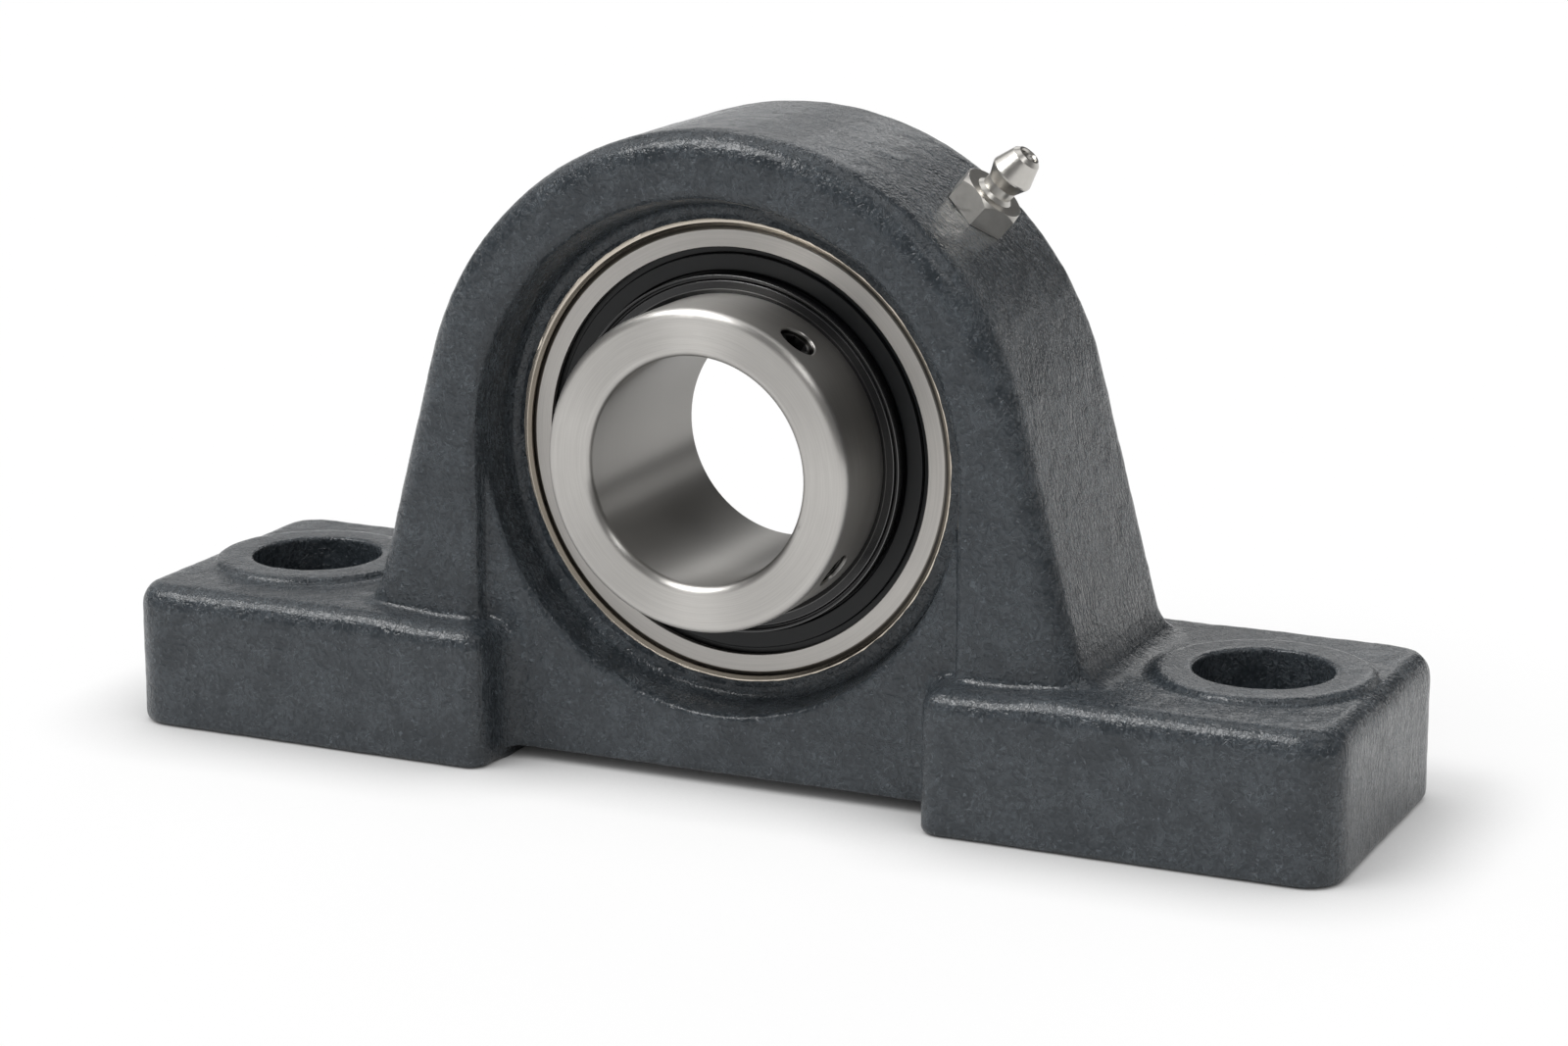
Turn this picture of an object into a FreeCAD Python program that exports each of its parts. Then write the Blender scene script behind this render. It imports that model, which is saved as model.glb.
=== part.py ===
import FreeCAD, Part
import Sketcher
import math
import operator
import os
from FreeCAD import Placement, Rotation, Vector

# Pillow block: a cast housing on two feet that carries an insert ball bearing
# in a spherical seat, so that the bearing can line itself up with its shaft.
# The origin is the centre of the bearing. Y is the shaft, X the length of the
# housing, Z up, and the collar of the bearing looks towards -Y. Millimetres.

SIZES = {
    # Housing: feet and base
    "shaft_height": 36.5,
    "base_length": 144.0,
    "base_width": 38.0,
    "foot_height": 16.0,
    "foot_gap": 52.0,
    "foot_corner_round": 4.5,
    "foot_inner_round": 2.5,
    "foot_top_round": 2.4,
    "foot_bottom_round": 0.8,
    "bolt_spacing": 116.0,
    "bolt_hole_dia": 15.0,
    "bolt_land_width": 4.3,
    "bolt_land_height": 1.3,
    "bolt_land_round": 0.8,
    # Housing: arch and web
    "arch_radius": 36.0,
    "arch_depth": 29.0,
    "arch_edge_round": 3.0,
    "arch_inner_round": 1.2,
    "flare_angle": 15.0,
    "leg_foot_round": 5.0,
    "leg_sink": 4.0,
    "leg_gap": 57.0,
    "web_depth": 25.4,
    "web_relief": 1.5,
    "web_overlap": 2.0,
    # Housing: bearing seat
    "seat_clearance": 0.05,
    "seat_lip": 1.0,
    "seat_width": 16.0,
    "seat_chamfer": 0.35,
    "seat_land": 2.3,
    "recess_draft": 1.0,
    "grease_groove_width": 5.0,
    "grease_groove_depth": 0.9,
    "grease_groove_shift": 3.0,
    "loading_clearance": 0.4,
    # Grease nipple
    "nipple_angle": 42.0,
    "nipple_shift": 2.2,
    "nipple_sink": 0.2,
    "nipple_land_dia": 9.6,
    "grease_passage_dia": 3.0,
    "nipple_thread_dia": 6.0,
    "nipple_thread_length": 5.0,
    "nipple_flats": 7.0,
    "nipple_hex_height": 3.0,
    "nipple_hex_chamfer": 0.45,
    "nipple_hex_bevel": 0.9,
    "nipple_turn": 45.0,
    "nipple_neck_dia": 3.6,
    "nipple_neck_length": 1.4,
    "nipple_neck_round": 0.4,
    "nipple_head_dia": 4.9,
    "nipple_flare_length": 1.4,
    "nipple_head_band": 0.2,
    "nipple_taper_length": 2.3,
    "nipple_tip_dia": 3.4,
    "nipple_tip_round": 0.45,
    "nipple_passage_dia": 1.8,
    "nipple_bore_dia": 2.6,
    "nipple_bore_floor": 2.6,
    "nipple_lip": 0.8,
    "check_ball_dia": 2.4,
    "check_ball_play": 0.02,
    "spring_wire_dia": 0.3,
    "spring_turns": 5.0,
    # Alignment pin between outer ring and housing
    "pin_dia": 2.5,
    "pin_hold": 1.4,
    "pin_reach": 1.3,
    "pin_clearance": 0.05,
    "pin_top_gap": 0.2,
    "pin_swing": 1.1,
    # Outer ring
    "ring_sphere_dia": 52.0,
    "ring_width": 15.0,
    "ring_chamfer": 0.4,
    "ring_edge_break": 0.1,
    "ring_counterbore": 0.7,
    "outer_groove_depth": 1.6,
    "seal_groove_depth": 1.3,
    "seal_groove_width": 1.5,
    "seal_groove_inset": 0.6,
    "grease_hole_dia": 1.4,
    # Inner ring with its collar
    "shaft_dia": 25.0,
    "collar_dia": 35.4,
    "collar_front": 18.0,
    "inner_ring_rear": 7.5,
    "collar_edge_round": 1.0,
    "bore_mouth_round": 0.9,
    "bore_rear_chamfer": 0.3,
    "rear_chamfer": 0.4,
    "inner_groove_depth": 2.2,
    # Balls and cage
    "ball_dia": 7.938,
    "ball_play": 0.03,
    "groove_radius": 4.128,
    "cage_width": 3.0,
    "cage_sheet": 0.5,
    "cage_shift": 0.2,
    "pocket_play": 0.12,
    "rivet_dia": 1.1,
    "rivet_head_dia": 1.9,
    "rivet_head_height": 0.45,
    # Seals and flinger
    "seal_rubber_back": 1.6,
    "seal_core_sheet": 0.45,
    "seal_face_inset": 0.2,
    "seal_face_width": 1.9,
    "seal_channel_depth": 0.7,
    "seal_fit": 0.02,
    "seal_lip_gap": 0.1,
    "seal_lip_width": 0.25,
    "seal_core_gap": 1.0,
    "flinger_gap": 0.2,
    "flinger_depth": 2.05,
    "flinger_rim": 0.35,
    "flinger_groove": 0.2,
    "flinger_slope": 0.15,
    "flinger_bevel": 0.5,
    "flinger_step": 0.55,
    "flinger_ridge": 0.3,
    # Set screws
    "screw_upper_angle": 54.6,
    "screw_lower_angle": -35.4,
    "screw_setback": 4.4,
    "screw_thread_dia": 4.2,
    "screw_clearance": 0.05,
    "screw_length": 4.5,
    "screw_sink": 0.45,
    "screw_edge_round": 0.45,
    "screw_socket_flats": 2.5,
    "screw_socket_turn": 10.0,
    "screw_socket_depth": 2.2,
    "screw_cup_dia": 2.1,
    "screw_cup_depth": 0.5,
    "screw_point_chamfer": 0.7,
    "screw_hole_chamfer": 0.1,
}
BALL_COUNT = 9
FIRST_BALL_ANGLE = 90.0

doc = FreeCAD.newDocument("pillow_block_bearing")
sheet = doc.addObject("Spreadsheet::Sheet", "sizes")
for row, (name, number) in enumerate(SIZES.items(), 1):
    sheet.set(f"A{row}", name)
    sheet.set(f"B{row}", str(number))
    sheet.setAlias(f"B{row}", name)
doc.recompute()


class Size:
    """A length or angle that knows its number and its expression in the sheet."""

    SIGNS = {"+": operator.add, "-": operator.sub, "*": operator.mul, "/": operator.truediv}

    def __init__(self, number, text):
        self.number = number
        self.text = text

    def joined(self, other, sign, swapped=False):
        other = other if isinstance(other, Size) else Size(other, repr(other))
        first, second = (other, self) if swapped else (self, other)
        number = self.SIGNS[sign](first.number, second.number)
        return Size(number, f"({first.text} {sign} {second.text})")

    def __add__(self, other):
        return self.joined(other, "+")

    def __radd__(self, other):
        return self.joined(other, "+", True)

    def __sub__(self, other):
        return self.joined(other, "-")

    def __rsub__(self, other):
        return self.joined(other, "-", True)

    def __mul__(self, other):
        return self.joined(other, "*")

    def __rmul__(self, other):
        return self.joined(other, "*", True)

    def __truediv__(self, other):
        return self.joined(other, "/")

    def __neg__(self):
        return Size(-self.number, f"(-1 * {self.text})")


class Sheet:
    """The driving sizes, each read by its name."""

    def __getattr__(self, name):
        return Size(float(sheet.get(name)), f"sizes.{name}")


def root(size):
    return Size(math.sqrt(size.number), f"sqrt({size.text})")


def cosine(angle):
    return Size(math.cos(math.radians(angle.number)), f"cos({angle.text})")


def sine(angle):
    return Size(math.sin(math.radians(angle.number)), f"sin({angle.text})")


def leg_of(long_side, short_side):
    """The other short side of a right triangle."""
    return root(long_side * long_side - short_side * short_side)


s = Sheet()
ZERO = Size(0.0, "0")


class Arc:
    """The segment between two corners runs round this centre; after it only one
    coordinate of the next corner is free to be stated, the radius gives the other."""

    def __init__(self, centre_x, centre_y, anticlockwise, stated):
        self.centre = (centre_x, centre_y)
        self.anticlockwise = anticlockwise
        self.stated = stated


def bind(item, prop, size):
    item.setExpression(prop, size.text)


def put_coordinate(sketch, segment, point, axis, size):
    if size.text == "0":
        line = -2 if axis == "X" else -1
        sketch.addConstraint(Sketcher.Constraint("PointOnObject", segment, point, line))
        return
    constraint = Sketcher.Constraint("Distance" + axis, segment, point, size.number)
    index = sketch.addConstraint(constraint)
    bind(sketch, f"Constraints[{index}]", size)


def draw_outline(sketch, path):
    """Draw a closed outline through corners (x, y), with an Arc between two of them
    where the side is round, and tie every corner and centre to the sheet."""
    segments = []
    start = None
    arc = None
    for item in path + path[:1]:
        if isinstance(item, Arc):
            arc = item
            continue
        if start is not None:
            segments.append((start, item, arc))
        start = item
        arc = None
    first = sketch.GeometryCount
    ends = []
    for (x0, y0), (x1, y1), arc in segments:
        a = Vector(x0.number, y0.number, 0)
        b = Vector(x1.number, y1.number, 0)
        if arc is None:
            sketch.addGeometry(Part.LineSegment(a, b), False)
            ends.append((1, 2))
            continue
        centre = Vector(arc.centre[0].number, arc.centre[1].number, 0)
        circle = Part.Circle(centre, Vector(0, 0, 1), (a - centre).Length)
        turn_a = math.atan2(a.y - centre.y, a.x - centre.x)
        turn_b = math.atan2(b.y - centre.y, b.x - centre.x)
        if arc.anticlockwise:
            sketch.addGeometry(Part.ArcOfCircle(circle, turn_a, turn_b), False)
            ends.append((1, 2))
        else:
            sketch.addGeometry(Part.ArcOfCircle(circle, turn_b, turn_a), False)
            ends.append((2, 1))
    count = len(segments)
    for i in range(count):
        after = (i + 1) % count
        joint = Sketcher.Constraint(
            "Coincident", first + i, ends[i][1], first + after, ends[after][0])
        sketch.addConstraint(joint)
    for i, ((x, y), _, arc) in enumerate(segments):
        before = segments[i - 1][2]
        if before is None or before.stated == "x":
            put_coordinate(sketch, first + i, ends[i][0], "X", x)
        if before is None or before.stated == "y":
            put_coordinate(sketch, first + i, ends[i][0], "Y", y)
        if arc is not None:
            put_coordinate(sketch, first + i, 3, "X", arc.centre[0])
            put_coordinate(sketch, first + i, 3, "Y", arc.centre[1])


def draw_circle(sketch, x, y, radius):
    centre = Vector(x.number, y.number, 0)
    index = sketch.addGeometry(
        Part.Circle(centre, Vector(0, 0, 1), radius.number), False)
    put_coordinate(sketch, index, 3, "X", x)
    put_coordinate(sketch, index, 3, "Y", y)
    constraint = sketch.addConstraint(
        Sketcher.Constraint("Radius", index, radius.number))
    bind(sketch, f"Constraints[{constraint}]", radius)


def hexagon(flats, turn):
    """Corners of a hexagon, given the distance between its flats and the angle of
    its first corner."""
    corner = flats / math.sqrt(3)
    angles = [turn + 60 * k for k in range(6)]
    return [(corner * cosine(a), corner * sine(a)) for a in angles]


def rectangle(x0, x1, y0, y1):
    return [(x0, y0), (x1, y0), (x1, y1), (x0, y1)]


def new_body(label):
    body = doc.addObject("PartDesign::Body", label)
    body.Label = label
    return body


def sketch_on(body, plane, name, height=None, tilt=None):
    """A sketch on one of the body's own planes, moved along the plane's normal or,
    on the XY plane, turned about Y and moved out along its turned normal."""
    sketch = body.newObject("Sketcher::SketchObject", f"{body.Label}_{name}")
    support = [f for f in body.Origin.OriginFeatures if f.Role == plane + "_Plane"][0]
    sketch.AttachmentSupport = [(support, "")]
    sketch.MapMode = "FlatFace"
    if tilt is not None:
        sketch.AttachmentOffset = Placement(Vector(), Rotation(Vector(0, 1, 0), 1.0))
        bind(sketch, "AttachmentOffset.Rotation.Angle", tilt)
    if height is not None and tilt is None:
        bind(sketch, "AttachmentOffset.Base.z", height)
    if height is not None and tilt is not None:
        bind(sketch, "AttachmentOffset.Base.x", height * sine(tilt))
        bind(sketch, "AttachmentOffset.Base.z", height * cosine(tilt))
    return sketch


def prism(body, kind, sketch, name, length=None, symmetric=False, reverse=False):
    feature = body.newObject("PartDesign::" + kind, f"{body.Label}_{name}")
    feature.Profile = sketch
    if symmetric:
        feature.SideType = "Symmetric"
    feature.Reversed = reverse
    if length is None:
        feature.Type = "ThroughAll"
    else:
        bind(feature, "Length", length)
    body.Tip = feature
    return feature


def turned(body, kind, sketch, name):
    """A revolved solid or cut about the sketch's upright axis."""
    feature = body.newObject("PartDesign::" + kind, f"{body.Label}_{name}")
    feature.Profile = sketch
    feature.ReferenceAxis = (sketch, ["V_Axis"])
    feature.Angle = 360
    body.Tip = feature
    return feature


def flat_at(edge, axis, place):
    """Whether an edge lies wholly at one height along an axis."""
    box = edge.BoundBox
    low = getattr(box, axis + "Min")
    high = getattr(box, axis + "Max")
    return abs(low - place) < 1e-3 and abs(high - place) < 1e-3


def edge_finish(body, kind, name, size, wanted):
    """Round or bevel the edges of the body so far that pass the test."""
    doc.recompute()
    base = body.Tip
    names = [f"Edge{i}" for i, edge in enumerate(base.Shape.Edges, 1) if wanted(edge)]
    feature = body.newObject("PartDesign::" + kind, f"{body.Label}_{name}")
    feature.Base = (base, names)
    bind(feature, "Radius" if kind == "Fillet" else "Size", size)
    body.Tip = feature
    return feature


# Sizes that several pieces share
foot_top = s.foot_height - s.shaft_height
ring_radius = s.ring_sphere_dia / 2
seat_radius = ring_radius + s.seat_clearance
mouth_radius = ring_radius - s.seat_lip
recess_floor_radius = mouth_radius + s.seat_land
collar_radius = s.collar_dia / 2
ball_radius = s.ball_dia / 2
pitch_radius = collar_radius - s.inner_groove_depth + ball_radius + s.ball_play
land_radius = pitch_radius + ball_radius + s.ball_play - s.outer_groove_depth
nipple_base = s.arch_radius - s.nipple_sink


# The housing is one grey iron casting: a base with two feet, an arch on two
# flared legs, and a thinner web that closes the arch below the bearing.
def make_arch():
    arch = new_body("arch")
    sketch = sketch_on(arch, "XZ", "outline")
    cos_flare = cosine(s.flare_angle)
    sin_flare = sine(s.flare_angle)
    corner_z = foot_top + s.leg_foot_round
    corner_x = (s.arch_radius + s.leg_foot_round - corner_z * sin_flare) / cos_flare
    start_x = corner_x - s.leg_foot_round * cos_flare
    start_z = corner_z - s.leg_foot_round * sin_flare
    spring_x = s.arch_radius * cos_flare
    spring_z = s.arch_radius * sin_flare
    buried = foot_top - s.leg_sink
    inside = s.leg_gap / 2
    draw_outline(sketch, [
        (spring_x, spring_z),
        Arc(ZERO, ZERO, True, "y"),
        (-spring_x, spring_z),
        (-start_x, start_z),
        Arc(-corner_x, corner_z, False, "x"),
        (-corner_x, foot_top),
        (-corner_x, buried),
        (-inside, buried),
        (-inside, ZERO),
        Arc(ZERO, ZERO, False, "y"),
        (inside, ZERO),
        (inside, buried),
        (corner_x, buried),
        (corner_x, foot_top),
        Arc(corner_x, corner_z, False, "y"),
        (start_x, start_z),
    ])
    prism(arch, "Pad", sketch, "block", s.arch_depth, symmetric=True)

    def on_face(edge):
        middle = edge.BoundBox.Center
        return abs(abs(middle.y) - s.arch_depth.number / 2) < 1e-3 and \
            edge.BoundBox.YLength < 1e-3 and not flat_at(edge, "Z", buried.number)

    def inner(edge):
        return on_face(edge) and (
            edge.BoundBox.XLength < 1e-3 and abs(abs(edge.BoundBox.Center.x) - inside.number) < 1e-3
            or abs(edge.BoundBox.ZMax - inside.number) < 1e-3)

    edge_finish(arch, "Fillet", "outer_round", s.arch_edge_round,
                lambda edge: on_face(edge) and not inner(edge))
    edge_finish(arch, "Fillet", "inner_round", s.arch_inner_round, inner)
    return arch


def make_web():
    web = new_body("web")
    sketch = sketch_on(web, "XZ", "outline")
    reach = s.leg_gap / 2 + s.web_overlap
    draw_outline(sketch, [
        (reach, ZERO),
        Arc(ZERO, ZERO, True, "y"),
        (-reach, ZERO),
        (-reach, s.web_relief - s.shaft_height),
        (reach, s.web_relief - s.shaft_height),
    ])
    prism(web, "Pad", sketch, "plate", s.web_depth, symmetric=True)
    return web


def make_housing():
    arch = make_arch()
    web = make_web()
    housing = new_body("housing")
    half_length = s.base_length / 2
    half_width = s.base_width / 2
    half_gap = s.foot_gap / 2
    half_web = s.web_depth / 2
    plan = sketch_on(housing, "XY", "plan", height=-s.shaft_height)
    draw_outline(plan, [
        (half_length, -half_width),
        (half_length, half_width),
        (half_gap, half_width),
        (half_gap, half_web),
        (-half_gap, half_web),
        (-half_gap, half_width),
        (-half_length, half_width),
        (-half_length, -half_width),
        (-half_gap, -half_width),
        (-half_gap, -half_web),
        (half_gap, -half_web),
        (half_gap, -half_width),
    ])
    prism(housing, "Pad", plan, "feet", s.foot_height)

    def upright(edge, x, y):
        middle = edge.BoundBox.Center
        return edge.BoundBox.ZLength > 1 and \
            abs(abs(middle.x) - x.number) < 1e-3 and abs(abs(middle.y) - y.number) < 1e-3

    edge_finish(housing, "Fillet", "corner_round", s.foot_corner_round,
                lambda edge: upright(edge, half_length, half_width))
    edge_finish(housing, "Fillet", "inner_round", s.foot_inner_round,
                lambda edge: upright(edge, half_gap, half_width))
    edge_finish(housing, "Fillet", "web_corner", s.foot_inner_round,
                lambda edge: upright(edge, half_gap, half_web))
    edge_finish(housing, "Fillet", "top_round", s.foot_top_round,
                lambda edge: flat_at(edge, "Z", foot_top.number))
    edge_finish(housing, "Fillet", "bottom_round", s.foot_bottom_round,
                lambda edge: flat_at(edge, "Z", -s.shaft_height.number))

    # The underside is hollow between the feet, so that the casting rests on them
    relief = sketch_on(housing, "XZ", "relief")
    draw_outline(relief, rectangle(
        -half_gap, half_gap, -s.shaft_height - s.web_relief, s.web_relief - s.shaft_height))
    prism(housing, "Pocket", relief, "underside", s.base_width * 2, symmetric=True)

    # A raised land round each bolt hole, faced for the bolt's washer
    land = sketch_on(housing, "XY", "lands", height=foot_top)
    for side in (-1, 1):
        draw_circle(land, s.bolt_spacing / 2 * side, ZERO,
                    s.bolt_hole_dia / 2 + s.bolt_land_width)
    prism(housing, "Pad", land, "bolt_lands", s.bolt_land_height)
    land_top = foot_top + s.bolt_land_height
    edge_finish(housing, "Fillet", "land_round", s.bolt_land_round,
                lambda edge: flat_at(edge, "Z", land_top.number))

    join = housing.newObject("PartDesign::Boolean", "housing_join")
    join.setObjects([arch, web])
    join.Type = "Fuse"
    housing.Tip = join

    holes = sketch_on(housing, "XY", "bolt_holes", height=land_top)
    for side in (-1, 1):
        draw_circle(holes, s.bolt_spacing / 2 * side, ZERO, s.bolt_hole_dia / 2)
    prism(housing, "Pocket", holes, "bolt_bores")

    # The seat: a shallow recess in each face, a turned mouth, and a spherical bore
    half_arch = s.arch_depth / 2
    half_seat = s.seat_width / 2
    bevel_radius = mouth_radius + s.seat_chamfer
    bevel_depth = half_seat - s.seat_chamfer
    ball_depth = leg_of(seat_radius, mouth_radius)
    recess_mouth = recess_floor_radius + s.recess_draft
    seat = sketch_on(housing, "XY", "seat")
    draw_outline(seat, [
        (ZERO, -half_arch),
        (recess_mouth, -half_arch),
        (recess_mouth, -half_web),
        (recess_floor_radius, -half_seat),
        (bevel_radius, -half_seat),
        (mouth_radius, -bevel_depth),
        (mouth_radius, -ball_depth),
        Arc(ZERO, ZERO, True, "x"),
        (mouth_radius, ball_depth),
        (mouth_radius, bevel_depth),
        (bevel_radius, half_seat),
        (recess_floor_radius, half_seat),
        (recess_mouth, half_web),
        (recess_mouth, half_arch),
        (ZERO, half_arch),
    ])
    turned(housing, "Groove", seat, "seat_bore")

    # Two flats at the rear let the ring be slipped in sideways and then turned
    loading = sketch_on(housing, "XZ", "loading_slots")
    slot_half = (s.ring_width + s.loading_clearance) / 2
    draw_outline(loading, rectangle(-seat_radius, seat_radius, -slot_half, slot_half))
    prism(housing, "Pocket", loading, "loading", half_seat)

    # Grease way: nipple flat, thread, passage, and a groove round the seat
    flat = sketch_on(housing, "XY", "nipple_flat", height=nipple_base, tilt=s.nipple_angle)
    draw_circle(flat, ZERO, s.nipple_shift, s.nipple_land_dia / 2)
    prism(housing, "Pocket", flat, "nipple_land", s.nipple_thread_length, reverse=True)
    thread = sketch_on(housing, "XY", "nipple_thread", height=nipple_base, tilt=s.nipple_angle)
    draw_circle(thread, ZERO, s.nipple_shift, s.nipple_thread_dia / 2)
    prism(housing, "Pocket", thread, "nipple_hole", s.nipple_thread_length)
    way = sketch_on(housing, "XY", "grease_way", height=nipple_base, tilt=s.nipple_angle)
    draw_circle(way, ZERO, s.nipple_shift, s.grease_passage_dia / 2)
    prism(housing, "Pocket", way, "grease_passage", nipple_base - mouth_radius)
    groove = sketch_on(housing, "XY", "grease_groove")
    draw_outline(groove, rectangle(
        mouth_radius, seat_radius + s.grease_groove_depth,
        s.grease_groove_shift - s.grease_groove_width / 2,
        s.grease_groove_shift + s.grease_groove_width / 2))
    turned(housing, "Groove", groove, "grease_ring")

    # Slot at the top of the seat for the alignment pin
    slot = sketch_on(housing, "XY", "pin_slot", height=mouth_radius)
    slot_x = s.pin_dia / 2 + s.pin_clearance
    slot_y = s.pin_dia / 2 + s.pin_swing
    draw_outline(slot, rectangle(-slot_x, slot_x, -slot_y, slot_y))
    prism(housing, "Pocket", slot, "pin_pocket",
          seat_radius - mouth_radius + s.pin_reach + s.pin_top_gap, reverse=True)
    return housing


def make_alignment_pin():
    """A hard steel pin in the outer ring that slides in the housing's slot and
    keeps the ring from turning while it swivels."""
    pin = new_body("alignment_pin")
    foot = ring_radius - s.pin_hold + s.pin_clearance
    sketch = sketch_on(pin, "XY", "round", height=foot)
    draw_circle(sketch, ZERO, ZERO, s.pin_dia / 2)
    prism(pin, "Pad", sketch, "stem", ring_radius + s.pin_reach - foot)
    return pin


def make_outer_ring():
    """Ground steel ring with a spherical outside and a deep groove inside."""
    ring = new_body("outer_ring")
    half = s.ring_width / 2
    edge_y = half - s.ring_chamfer
    edge_r = leg_of(ring_radius, edge_y)
    face_r = leg_of(ring_radius, half) - s.ring_chamfer
    bore_r = land_radius + s.ring_counterbore
    groove_r = land_radius + s.seal_groove_depth
    groove_out = half - s.seal_groove_inset
    groove_in = groove_out - s.seal_groove_width
    race_centre = pitch_radius + ball_radius + s.ball_play - s.groove_radius
    race_half = leg_of(s.groove_radius, land_radius - race_centre)
    sketch = sketch_on(ring, "XY", "section")
    draw_outline(sketch, [
        (face_r, -half),
        (edge_r, -edge_y),
        Arc(ZERO, ZERO, True, "x"),
        (edge_r, edge_y),
        (face_r, half),
        (bore_r + s.ring_edge_break, half),
        (bore_r, half - s.ring_edge_break),
        (bore_r, groove_out),
        (groove_r, groove_out),
        (groove_r, groove_in),
        (land_radius, groove_in),
        (land_radius, race_half),
        Arc(race_centre, ZERO, False, "x"),
        (land_radius, -race_half),
        (land_radius, -groove_in),
        (groove_r, -groove_in),
        (groove_r, -groove_out),
        (bore_r, -groove_out),
        (bore_r, s.ring_edge_break - half),
        (bore_r + s.ring_edge_break, -half),
    ])
    turned(ring, "Revolution", sketch, "turned")
    pin_hole = sketch_on(ring, "XY", "pin_hole", height=ring_radius + s.pin_reach)
    draw_circle(pin_hole, ZERO, ZERO, s.pin_dia / 2 + s.pin_clearance)
    prism(ring, "Pocket", pin_hole, "pin_bore", s.pin_hold + s.pin_reach)
    feed = sketch_on(ring, "XY", "feed", tilt=s.nipple_angle)
    feed_y = (race_half + groove_in) / 2
    draw_circle(feed, ZERO, feed_y, s.grease_hole_dia / 2)
    prism(ring, "Pocket", feed, "grease_hole", s.ring_sphere_dia, reverse=True)
    return ring


def make_inner_ring():
    """Ground steel ring; its collar at the front holds the two set screws."""
    ring = new_body("inner_ring")
    shaft = s.shaft_dia / 2
    race_centre = pitch_radius - ball_radius - s.ball_play + s.groove_radius
    race_half = leg_of(s.groove_radius, race_centre - collar_radius)
    sketch = sketch_on(ring, "XY", "section")
    draw_outline(sketch, [
        (shaft, -s.collar_front),
        (collar_radius, -s.collar_front),
        (collar_radius, -race_half),
        Arc(race_centre, ZERO, False, "x"),
        (collar_radius, race_half),
        (collar_radius, s.inner_ring_rear - s.rear_chamfer),
        (collar_radius - s.rear_chamfer, s.inner_ring_rear),
        (shaft + s.bore_rear_chamfer, s.inner_ring_rear),
        (shaft, s.inner_ring_rear - s.bore_rear_chamfer),
    ])
    turned(ring, "Revolution", sketch, "turned")

    def front_edge(radius):
        return lambda edge: flat_at(edge, "Y", -s.collar_front.number) and \
            abs(edge.BoundBox.XMax - radius.number) < 1e-3

    edge_finish(ring, "Fillet", "collar_round", s.collar_edge_round, front_edge(collar_radius))
    edge_finish(ring, "Fillet", "mouth_round", s.bore_mouth_round, front_edge(shaft))
    for name, angle in (("upper", s.screw_upper_angle), ("lower", s.screw_lower_angle)):
        hole = sketch_on(ring, "XY", f"{name}_screw", tilt=90 - angle)
        draw_circle(hole, ZERO, s.screw_setback - s.collar_front, s.screw_thread_dia / 2)
        prism(ring, "Pocket", hole, f"{name}_thread", s.collar_dia, reverse=True)
    edge_finish(ring, "Chamfer", "thread_bevel", s.screw_hole_chamfer, is_thread_mouth)
    return ring


def is_thread_mouth(edge):
    """An edge where a screw hole leaves the outside of the collar."""
    if flat_at(edge, "Y", edge.BoundBox.Center.y):
        return False
    point = edge.valueAt((edge.FirstParameter + edge.LastParameter) / 2)
    away = math.hypot(point.x, point.z)
    inside_hole = abs(edge.BoundBox.YLength - s.screw_thread_dia.number) < 0.1
    return inside_hole and abs(away - collar_radius.number) < 0.05


def make_balls():
    """Hard steel balls, evenly spaced on the pitch circle."""
    for k in range(BALL_COUNT):
        angle = FIRST_BALL_ANGLE - k * 360 / BALL_COUNT
        ball = doc.addObject("Part::Sphere", f"ball_{k + 1}")
        ball.Label = f"ball_{k + 1}"
        bind(ball, "Radius", ball_radius)
        bind(ball, ".Placement.Base.x", pitch_radius * math.cos(math.radians(angle)))
        bind(ball, ".Placement.Base.z", pitch_radius * math.sin(math.radians(angle)))
        yield ball


def ring_of_solids(label, make, phase):
    """Copies of one helper solid on the pitch circle, joined in one object."""
    copies = []
    for k in range(BALL_COUNT):
        angle = math.radians(FIRST_BALL_ANGLE - (k + phase) * 360 / BALL_COUNT)
        copy = make(f"{label}_{k + 1}")
        bind(copy, ".Placement.Base.x", pitch_radius * math.cos(angle))
        bind(copy, ".Placement.Base.z", pitch_radius * math.sin(angle))
        copies.append(copy)
    joined = doc.addObject("Part::MultiFuse", label)
    joined.Shapes = copies
    return joined


def helper_ball(radius):
    def make(name):
        ball = doc.addObject("Part::Sphere", name)
        bind(ball, "Radius", radius)
        return ball
    return make


def round_bar(name, radius, low, high):
    """A cylinder along Y between two places."""
    bar = doc.addObject("Part::Cylinder", name)
    bind(bar, "Radius", radius)
    bind(bar, "Height", high - low)
    bar.Placement = Placement(Vector(), Rotation(Vector(1, 0, 0), -90))
    bind(bar, ".Placement.Base.y", low)
    return bar


def tube(name, inner, outer, low, high):
    cut = doc.addObject("Part::Cut", name)
    cut.Base = round_bar(name + "_outside", outer, low, high)
    cut.Tool = round_bar(name + "_inside", inner, low, high)
    return cut


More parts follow.
